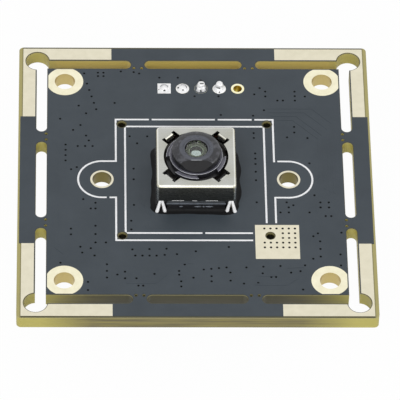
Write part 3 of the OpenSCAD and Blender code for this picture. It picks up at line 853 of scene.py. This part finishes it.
def makeLens(name):
    rim, low, high, clear, front, rear = lensTable[name]
    cut = lensChamfer
    low += face
    high += face
    work = bmesh.new()
    if name == "lens_1":             # crown fills the barrel's mouth
        outline = arcPoints(frontCrown["radius"], face + frontCrown["high"],
                            frontCrown["rise"], 18)
        outline += [(frontCrown["radius"], high)]
    else:
        outline = arcPoints(clear, high, front, 14)
    outline += [(rim - cut, high), (rim, high - cut), (rim, low + cut), (rim - cut, low)]
    outline += arcPoints(clear, low, -rear, 14)[::-1]
    spinProfile(work, outline, steps=72)
    makePiece(camelName(name), work, finishes[lensLook.get(name, "lens_glass")],
              body="lens_carriage", replaced=(name,), smooth=30)


for name in lensTable:
    makeLens(name)

apertureStop = {"hole": 0.66, "rim": 1.29, "low": 4.46, "high": 4.5, "slope": (0.03, 0.01)}


# thin black sheet with the aperture, under the front element; its face carries rings of painted
# reflection
def makeStop():
    size = apertureStop
    work = bmesh.new()
    low, high = face + size["low"], face + size["high"]
    along, down = size["slope"]
    spinProfile(work, [(size["hole"], high - down), (size["hole"] + along, high),
                       (size["rim"], high), (size["rim"], low), (size["hole"], low),
                       (size["hole"], high - down)], steps=72)
    makePiece("apertureStop", work, finishes["stopSheet"], body="lens_carriage",
              smooth=50)


makeStop()

# header pins and their solder
print("solder")
headerRow = {"y": 13.0, "x": (-3.2, -1.2, 0.8, 2.8), "tips": (0.16, 0.16, 0.6, 0.62),
             "pad": 0.72, "bore": 0.47, "pin": 0.25, "base": boardTop + 0.03, "film": 0.03,
             "pit": 0.06, "seam": 0.035}
solderDomes = (      # pin, shift in x and y, foot and crown radius, bottom and top
    (0, 0, 0, 0.46, 0.34, 0.02, 0.26), (1, 0, 0, 0.48, 0.34, 0.02, 0.26),
    (2, -0.24, -0.22, 0.3, 0.2, 0.0, 0.45), (2, 0.22, -0.18, 0.32, 0.22, 0.0, 0.5),
    (2, 0.03, 0.1, 0.5, 0.36, 0.1, 0.82), (3, 0, 0, 0.68, 0.36, 0.0, 0.44),
    (3, 0.02, 0.12, 0.45, 0.34, 0.3, 0.86))
solderPits = (       # pin, shift in x and y, height, half sizes in x and y
    (0, 0.03, -0.4, 0.15, 0.13, 0.12), (0, -0.58, -0.17, 0.03, 0.06, 0.06),
    (1, -0.45, 0.03, 0.12, 0.13, 0.1), (1, 0.03, -0.36, 0.18, 0.1, 0.1),
    (2, -0.02, -0.46, 0.17, 0.11, 0.2), (2, 0.08, 0.0, 0.84, 0.24, 0.06),
    (3, 0.02, -0.32, 0.45, 0.08, 0.13), (3, 0.0, -0.6, 0.12, 0.09, 0.09))
# grey arcs round the solder domes: painted shade
solderSeams = (      # pin, radius, height, start angle, span
    (0, 0.42, 0.2, 15, 150), (1, 0.44, 0.2, -10, 120), (3, 0.4, 0.5, 200, 60))
finishes["solderShade"] = mottled("solderShade", (126, 128, 132), (152, 154, 158), patch=0.2,
                                  rough=(0.25, 0.4), grain=0.08)
finishes["thinSolder"] = mottled("thinSolder", (84, 90, 95), (102, 106, 110), patch=0.3,
                                 rough=(0.3, 0.45), grain=0.08)
finishes["solderPit"] = mottled("solderPit", (52, 55, 52), (76, 80, 78), patch=0.1,
                                rough=(0.3, 0.5), grain=0.05, depth=0.002)
dropLook = {"uneven": 0.22, "waves": 2.6}


# domed drop with an uneven side
def addDrop(work, x, y, foot, crown, low, high):
    part = bmesh.new()
    rise = high - low
    outline = [(0.0, high), (crown * 0.7, high - 0.02), (crown, high - 0.09),
               (crown + (foot - crown) * 0.3, low + rise * 0.5),
               (crown + (foot - crown) * 0.7, low + rise * 0.18), (foot, low), (0.0, low)]
    spinProfile(part, outline, steps=32, centre=(x, y))
    for vert in part.verts:
        push = dropLook["uneven"] * noise.noise(vert.co * dropLook["waves"])
        vert.co.x += (vert.co.x - x) * push
        vert.co.y += (vert.co.y - y) * push
    copyInto(part, work)


def makeHeaderPins():
    row = headerRow
    work = bmesh.new()
    low = heightsOf("connector_pins")[0]
    for x, tip in zip(row["x"], row["tips"]):
        addBox(work, (x - row["pin"], row["y"] - row["pin"], low),
               (x + row["pin"], row["y"] + row["pin"], face + tip))
    makePiece("headerPins", work, finishes["tinned_metal"], replaced=("connector_pins",),
              bevel=0.07)


def makeHeaderSolder():
    row = headerRow
    base = row["base"]
    bright, pits, shadeArcs, thin = bmesh.new(), bmesh.new(), bmesh.new(), bmesh.new()
    for index, x in enumerate(row["x"]):
        addRod(bright, 0.0, base, row["bore"], at=(x, row["y"]))
        if index == 0:               # the first pad is square
            addBox(bright, (x - row["pad"], row["y"] - row["pad"], base),
                   (x + row["pad"], row["y"] + row["pad"], base + row["film"]))
        else:
            addRod(thin if index == 2 else bright, base, base + row["film"], row["pad"] + 0.005,
                   top=row["pad"] - 0.03, sides=48, at=(x, row["y"]))
    for pin, right, back, foot, crown, low, high in solderDomes:
        addDrop(bright, row["x"][pin] + right, row["y"] + back, foot, crown, base + low,
                base + high)
    for pin, right, back, high, wide, deep in solderPits:
        made = bmesh.ops.create_icosphere(pits, subdivisions=2, radius=1)["verts"]
        bmesh.ops.scale(pits, vec=(wide, deep, row["pit"]), verts=made)
        bmesh.ops.translate(pits, verts=made,
                            vec=(row["x"][pin] + right, row["y"] + back, base + high))
    for pin, radius, high, start, span in solderSeams:
        addArc(shadeArcs, radius, base + high, row["seam"], start, span, (row["x"][pin], row["y"]))
    makePiece("headerSolder", bright, finishes["solder"], replaced=("connector_solder",),
              smooth=60)
    makePiece("thinSolder", thin, finishes["thinSolder"], smooth=60)
    makePiece("solderPits", pits, finishes["solderPit"], smooth=80)
    makePiece("solderSeams", shadeArcs, finishes["solderShade"], smooth=80)


makeHeaderPins()
makeHeaderSolder()

terminalSolder = {"x": (-3.72, 3.72), "y": -4.2, "height": 1.42, "thin": 0.14, "thick": 0.2,
                  "spread": (0.1, 0.42), "step": (0.0, 0.28), "foot": 0.22, "footTop": 0.17,
                  "footHeight": 0.1}
finishes["freshSolder"] = mottled(
    "freshSolder", (248, 248, 250), (255, 255, 255), patch=0.3, rough=(0.2, 0.3), grain=0.15,
    depth=0.004)


# each fillet is drawn as two white legs that climb the terminal and spread apart at its foot:
# painted highlights on the fillet's two sides, with the dark base showing between them
def makeTerminalSolder():
    look = terminalSolder
    work = bmesh.new()
    for x in look["x"]:
        for side in (-1, 1):
            leg = addRod(work, face, face + look["height"], look["thick"], top=look["thin"],
                         at=(x, look["y"]))
            foot = addRod(work, face, face + look["footHeight"], look["foot"],
                          top=look["footTop"], at=(x, look["y"]))
            for vert in leg + foot:
                lower = 1 - (vert.co.z - face) / look["height"]
                apart, forward = [a + (b - a) * lower for a, b in (look["spread"], look["step"])]
                vert.co.x += side * apart
                vert.co.y -= forward
    makePiece("terminalSolder", work, finishes["freshSolder"], replaced=("terminal_solder",),
              smooth=60, bevel=0.03)


makeTerminalSolder()

# adhesive
print("adhesive")
gluePlan = {"inner": 4.2, "reach": 0.85, "height": 0.34, "steps": 128, "corner": 0.9,
            "front": -0.6, "frontExtra": 0.12, "waves": 2.2, "level": 3.1}


# distance from the centre to a rounded square of that half width
def squareOut(angle, half, corner):
    c, s = abs(math.cos(angle)), abs(math.sin(angle))
    power = 2 * half / corner * 0.9
    return half / (c ** power + s ** power) ** (1 / power)


def makeGlueBead():
    plan = gluePlan
    work = bmesh.new()
    profile = [(0.0, 0.0), (0.0, 1.0), (0.12, 0.98), (0.25, 0.8), (0.4, 0.52), (0.55, 0.32),
               (0.72, 0.2), (0.88, 0.1), (0.97, 0.03), (1.0, 0.0)]
    spinProfile(work, [(1 + r, z) for r, z in profile] + [(1.0, 0.0)], steps=plan["steps"])
    for vert in work.verts:
        angle = math.atan2(vert.co.y, vert.co.x)
        away = math.hypot(vert.co.x, vert.co.y) - 1
        ripple = noise.noise(Vector((math.cos(angle) * plan["waves"],
                                     math.sin(angle) * plan["waves"], plan["level"])))
        reach = plan["reach"] * (0.72 + 0.5 * ripple)
        if math.sin(angle) < plan["front"]:
            reach += plan["frontExtra"]
        radius = squareOut(angle, plan["inner"] + reach * away, plan["corner"] + 0.4 * away)
        vert.co.x = radius * math.cos(angle)
        vert.co.y = radius * math.sin(angle)
        vert.co.z = face + plan["height"] * vert.co.z * (0.85 + 0.4 * ripple)
    makePiece("footGlue", work, finishes["adhesive"], replaced=("holder_glue",),
              smooth=60)


makeGlueBead()

finishes["jointShine"] = mottled("jointShine", (74, 79, 84), (104, 110, 120), patch=0.4,
                                 rough=(0.2, 0.4), grain=0.1, depth=0.004)
jointPlan = {"dabs": ((0.2, 0.4), (1.4, 0.42), (-1.6, 0.2), (0.8, 0.12)), "dabAt": (-4.24, 0.53),
             "dabHalf": (0.1, 0.07), "line": ((-3.15, -4.22, 0.8), (3.15, -4.1, 1.0)),
             "burrs": ((-2.6, -1.3), (1.0, 2.3), (-0.4, 0.1)),
             "burrAt": ((-4.262, 1.455), (-4.2, 1.5))}


# glue dabs on the holder's foot and the joint line over them, painted grey as glints and a
# highlight; white strips on the cover's edge, painted highlights
def makeJoint():
    plan = jointPlan
    dabs, line, burrs = bmesh.new(), bmesh.new(), bmesh.new()
    for x, long in plan["dabs"]:
        made = bmesh.ops.create_icosphere(dabs, subdivisions=3, radius=1)["verts"]
        bmesh.ops.scale(dabs, vec=(long, *plan["dabHalf"]), verts=made)
        bmesh.ops.translate(dabs, vec=(x, plan["dabAt"][0], face + plan["dabAt"][1]), verts=made)
    makePiece("jointDabs", dabs, finishes["jointShine"], smooth=80)
    low, high = [(x, y, face + z) for x, y, z in plan["line"]]
    addBox(line, low, high)
    makePiece("jointLine", line, finishes["jointShine"], bevel=0.03)
    (front, bottom), (back, top) = plan["burrAt"]
    for left, right in plan["burrs"]:
        addBox(burrs, (left, front, face + bottom), (right, back, face + top))
    makePiece("cutBurrs", burrs, finishes["solder"], bevel=0.012)


makeJoint()

# solder mask relief
print("mask relief")
viaRows = [      # first place, step and count of each row
    (-10.4, 15.3, 0.6, 0, 2), (-10.4, 14.8, 0.6, 0, 2), (-6.5, 15.4, 0.6, -0.2, 2),
    (-11.9, 15.2, 4, 0.3, 2), (-3.7, 14.6, 2, 0, 2), (0.8, 14.2, 0, 0, 1),
    (-11.6, 13.7, 0.25, -0.93, 5), (11, 12.6, 0, -0.65, 3), (9.1, 11.3, 0.6, 0, 2),
    (7.8, 12.6, 0, -0.7, 2), (7.2, 13.1, -0.6, -0.9, 2), (0.1, 11.9, 2.6, 0, 2),
    (12.1, 11.9, 0, 0, 1), (-8.6, 10.9, 0, 0, 1), (-12.5, 10.5, 0.8, -1.1, 2),
    (7.6, 9.9, -1.2, -0.8, 2), (2.9, 9.2, 0, 0, 1), (-14.5, 8.6, 0, 0, 1),
    (-12.3, 7.7, -0.8, -0.7, 2), (10.8, 7.5, 0, -0.8, 2), (6.4, 6.6, 0, -0.7, 2),
    (10, 6, 2.2, -0.1, 2), (-11.7, 6.2, 0.3, -0.7, 2), (-7, 6.1, 1.9, 0, 2),
    (-6.2, 5.1, 0, 0, 1), (-13.9, 4.9, 0, -0.75, 4), (-12.6, 4.7, 0.8, 0, 3),
    (6.5, 3.7, 0, -0.75, 3), (6.5, 1.1, 0, -1.2, 2), (6.5, -3.2, 0, 0, 1),
    (12.3, 2.3, 0, 0, 1), (-12.7, 1.7, -0.6, -0.3, 2), (-6.6, 1.5, 0, -1.5, 2),
    (12.7, -2.2, 0, 0, 1), (-12, -2.8, 0, 0, 1), (13.3, -3.2, 0.9, 0, 2),
    (13.3, -3.9, 0.9, 0, 2), (-10.7, -3.3, 0, -0.8, 2), (-11.2, -4.1, 0, 0, 1),
    (9.7, -3.2, 0.7, -0.4, 2), (9.9, -3.9, 0, 0, 1), (9, -4.6, 0.9, 0, 2),
    (12.1, -4.6, 0, 0, 1), (13.8, -5.1, 0.6, 0, 2), (-6.6, -3.6, 0, 0, 1),
    (-6.9, -5.8, 0, -1.2, 2), (-10.7, -6.5, 0, -1.15, 3), (-9.6, -8.8, 0, 0, 1),
    (-13.3, -6.9, 0, -0.8, 2), (15.4, -7.4, 0, 0, 1), (12.9, -7.5, -0.5, -0.4, 2),
    (13.1, -8.6, 0, -1.05, 3), (12.3, -11, 0, 0, 1), (15.2, -10.4, 0, -1.5, 2),
    (-6.5, -10.6, 0.75, 0, 4), (-6.8, -9.75, 1.8, 0.05, 3), (-0.1, -10, 0, 0, 1),
    (3.4, -9.4, 0, 0, 1), (-2.1, -10.4, -1.3, -0.1, 2), (-12.3, -9.4, 1.1, -0.2, 2),
    (-12.1, -10.2, 1.3, -0.4, 2), (-9.5, -11.8, 0, -0.9, 3), (0.7, -12.5, 0.8, 0.1, 4),
    (5.2, -12.2, 1.8, 0.1, 3), (11.4, -11.9, -0.5, -0.8, 2), (9.9, -12.9, 0, 0, 1),
    (-14.4, -11.6, 0, 0, 1), (-1.3, -11.8, 0, 0, 1), (-1.9, -12.7, 0, -0.5, 2),
    (3.5, -12.9, 0, -1.1, 2), (1.5, -13.4, 0, -0.7, 2), (-1.7, -14.1, 0, -0.7, 2),
    (-11.5, -14.2, 0, -1.1, 2), (-7.6, -12.8, 0, -0.9, 2), (6.9, -13, 0, 0, 1),
    (7.8, -13.5, 0.5, 0, 2), (-8.4, -13.2, 0, 0, 1), (-4.5, -13.1, 0, 0, 1),
    (-6.4, -13.7, 0, 0, 1), (-0.4, -13.6, 0, 0, 1), (6.4, -14.3, -1.5, -0.1, 2),
    (-5.7, -14.7, -0.5, 0, 2), (11.1, -15.2, 0, 0, 1)]
viaLook = {"radius": 0.13, "rim": 0.21, "lift": 0.006, "slopes": (0.02, 0.03), "sides": 10,
           "pit": (0.0005, 0.003)}
finishes["viaPit"] = mottled("viaPit", (2, 2, 3), (8, 8, 9), patch=0.1, rough=(0.5, 0.6),
                             grain=0.05, depth=0.002, **{"Specular IOR Level": 0.08})


# tented vias: a near-black disc, painted shade of the via's pit, with a slightly raised ring of
# mask round it
def makeVias():
    look = viaLook
    pits, rims = bmesh.new(), bmesh.new()
    inner, outer, top = look["radius"], look["rim"], face + look["lift"]
    rise, fall = look["slopes"]
    low, high = [face + level for level in look["pit"]]
    ring = [(inner, face), (inner + rise, top), (outer - fall, top), (outer, face)]
    for x, y, stepX, stepY, count in viaRows:
        for turn in range(count):
            spot = (x + stepX * turn, y + stepY * turn)
            addRod(pits, low, high, inner, sides=look["sides"], at=spot)
            part = bmesh.new()
            spinProfile(part, ring, steps=look["sides"], centre=spot)
            copyInto(part, rims)
    makePiece("viaPits", pits, finishes["viaPit"], smooth=60)
    makePiece("viaRims", rims, finishes["solder_mask"], smooth=60)


makeVias()

tracePlan = {"width": 0.24, "lift": 0.018, "sunk": 0.005,
             "runs": [
                 [(8.0, 10.2), (12.8, 10.2), (14.9, 8.1), (14.9, -1.8)],
                 [(8.2, 9.65), (12.0, 9.65), (14.4, 7.25), (14.4, -1.6)],
                 [(8.4, 9.1), (11.1, 9.1), (13.9, 6.3), (13.9, -1.2)],
                 [(9.0, 8.55), (10.7, 8.55), (13.4, 5.85), (13.4, 0.6), (12.7, -0.1)],
                 [(-14.9, 3.0), (-14.9, -9.5), (-14.2, -10.2)],
                 [(-14.5, 2.6), (-14.5, -9.0)],
                 [(-5.9, 3.6), (-5.9, -3.0), (-5.5, -3.6)],
                 [(-7.95, 3.4), (-7.95, -6.8)],
                 [(8.02, 4.6), (8.02, -5.6)],
                 [(-1.5, -11.6), (-0.4, -11.6)], [(-7.4, -14.3), (-4.4, -14.3), (-3.2, -13.1)],
                 [(6.2, -14.5), (9.4, -14.5), (10.6, -13.6)],
                 [(9.6, -12.2), (11.2, -12.1)], [(6.6, -13.3), (8.2, -13.3)]]}


# a straight flat run, round at its start and, when it is the last one, at its end
def addRibbon(work, start, end, width, low, high, last=True):
    length = math.hypot(end[0] - start[0], end[1] - start[1])
    turn = math.atan2(end[1] - start[1], end[0] - start[0])
    made = addBox(work, (0, -width / 2, low), (length, width / 2, high))
    bmesh.ops.rotate(work, cent=(0, 0, 0), matrix=Matrix.Rotation(turn, 3, "Z"), verts=made)
    bmesh.ops.translate(work, vec=(start[0], start[1], 0), verts=made)
    for at in (start, end) if last else (start,):
        # a hair higher than the run, so that no two tops coincide
        addRod(work, low, high + 0.001, width / 2, sides=10, at=at)


def makeTraces():
    work = bmesh.new()
    for run in tracePlan["runs"]:
        for start, end in zip(run, run[1:]):
            addRibbon(work, start, end, tracePlan["width"], face - tracePlan["sunk"],
                      face + tracePlan["lift"], last=end == run[-1])
    makePiece("traceRelief", work, finishes["solder_mask"], smooth=30)


makeTraces()

groundPlan = {"first": (7.22, -6.85), "pitch": 0.65, "columns": 6, "rows": 5, "radius": 0.13}


# dark plugged vias of the gold pad, none round the locating hole
def makeGroundVias():
    plan = groundPlan
    work = bmesh.new()
    low, high = viaLook["pit"]
    low += boardTop
    high += heightsOf("ground_pad")[1]
    for column in range(plan["columns"]):
        for row in range(plan["rows"]):
            if column > 2 or row == 0 or row > 2:
                addRod(work, low, high, plan["radius"], sides=14,
                       at=(plan["first"][0] + plan["pitch"] * column,
                           plan["first"][1] - plan["pitch"] * row))
    makePiece("groundVias", work, finishes["viaPit"], smooth=60)


makeGroundVias()

holeShadePlan = {"places": 7.85, "radius": 0.447, "wall": 0.02, "low": 0.05, "high": 1.32,
             "slope": 0.1}
finishes["drilledWall"] = mottled("drilledWall", (24, 22, 12), (40, 37, 22), patch=0.3,
                                  rough=(0.5, 0.7), grain=0.05, depth=0.004,
                                  **{"Specular IOR Level": 0.1})


# dark sleeves on the walls of the unplated locating holes: painted shade deep in the holes
def makeHoleShadeSleeves():
    plan = holeShadePlan
    work = bmesh.new()
    outer, low, high = plan["radius"], plan["low"], plan["high"]
    inner = outer - plan["wall"]
    for x in (-plan["places"], plan["places"]):
        for y in (-plan["places"], plan["places"]):
            part = bmesh.new()
            spinProfile(part, [(outer, low), (outer, high), (inner, high - plan["slope"]),
                               (inner, low), (outer, low)], steps=32, centre=(x, y))
            copyInto(part, work)
    makePiece("drilledWalls", work, finishes["drilledWall"], smooth=50)


makeHoleShadeSleeves()

# stage, light and camera
print("stage")
cameraPlan = {"place": (-0.012923, -0.324041, 0.380404), "lens": 419.04, "sensor": 36.0,
              "near": 0.02, "elevation": 49.682, "azimuth": -2.385, "roll": -1.928}


def placeCamera():
    plan = cameraPlan
    up, around = math.radians(plan["elevation"]), math.radians(plan["azimuth"])
    back = Vector((math.sin(around) * math.cos(up), -math.cos(around) * math.cos(up),
                   math.sin(up)))
    side = (-back).cross(Vector((0, 0, 1))).normalized()
    down = (-back).cross(side)
    roll = math.radians(plan["roll"])
    right = math.cos(roll) * side + math.sin(roll) * down
    below = -math.sin(roll) * side + math.cos(roll) * down
    data = bpy.data.cameras.new("camera")
    data.lens = plan["lens"]
    data.sensor_width = plan["sensor"]
    data.clip_start = plan["near"]
    camera = bpy.data.objects.new("camera", data)
    turn = Matrix((right, -below, back)).transposed().to_4x4()
    camera.matrix_world = Matrix.Translation(plan["place"]) @ turn
    scene.collection.objects.link(camera)
    scene.camera = camera


placeCamera()

stagePlan = {"floor": -0.0075, "size": 0.9, "glow": 0.97, "fill": 0.45, "lampSize": 0.34}


# 1 where the camera looks, also by mirroring or through glass
def seenDirectly(tree):
    path = addNode(tree, "ShaderNodeLightPath").outputs
    seen = calculate(tree, "MAXIMUM", path["Is Camera Ray"], path["Is Glossy Ray"])
    return calculate(tree, "MAXIMUM", seen, path["Is Transmission Ray"])


def mixShaders(tree, share, first, second, output):
    mixer = addNode(tree, "ShaderNodeMixShader")
    for source, socket in zip((share, first.outputs[0], second.outputs[0]), mixer.inputs):
        tree.links.new(source, socket)
    tree.links.new(mixer.outputs[0], output.inputs["Surface"])


def makeFloor():
    work = bmesh.new()
    bmesh.ops.create_grid(work, x_segments=1, y_segments=1, size=stagePlan["size"])
    bmesh.ops.translate(work, vec=(0, 0, stagePlan["floor"]), verts=work.verts)
    mesh = bpy.data.meshes.new("floor")
    work.to_mesh(mesh)
    work.free()
    floor = bpy.data.objects.new("floor", mesh)
    scene.collection.objects.link(floor)
    material, tree, shader = startFinish("paleFloor", Roughness=0.9)
    shader.inputs["Base Color"].default_value = paint(240, 240, 240)
    glow = addNode(tree, "ShaderNodeEmission", {"Color": (1, 1, 1, 1), "Strength": 1.0})
    share = calculate(tree, "MULTIPLY", seenDirectly(tree), stagePlan["glow"])
    mixShaders(tree, share, shader, glow, tree.nodes["Material Output"])
    mesh.materials.append(material)


makeFloor()


def lightWorld():
    world = bpy.data.worlds.new("studio")
    scene.world = world
    world.use_nodes = True
    tree = world.node_tree
    fill = tree.nodes["Background"]
    fill.inputs["Color"].default_value = (1, 1, 1, 1)
    fill.inputs["Strength"].default_value = stagePlan["fill"]
    white = addNode(tree, "ShaderNodeBackground", {"Color": (1, 1, 1, 1), "Strength": 1.0})
    mixShaders(tree, seenDirectly(tree), fill, white, tree.nodes["World Output"])


lightWorld()


def addLamp(name, place, power):
    data = bpy.data.lights.new(name, "AREA")
    data.energy = power
    data.size = stagePlan["lampSize"]
    data.shape = "SQUARE"
    lamp = bpy.data.objects.new(name, data)
    lamp.location = place
    lamp.rotation_euler = (-Vector(place)).to_track_quat("-Z", "Y").to_euler()
    scene.collection.objects.link(lamp)


addLamp("keyLamp", (-0.15, -0.35, 0.42), 1.3)
addLamp("sideLamp", (0.45, -0.1, 0.3), 0.6)
addLamp("frontLamp", (0.06, -0.5, 0.26), 0.55)

scene.view_settings.view_transform = "Standard"

print("finished")
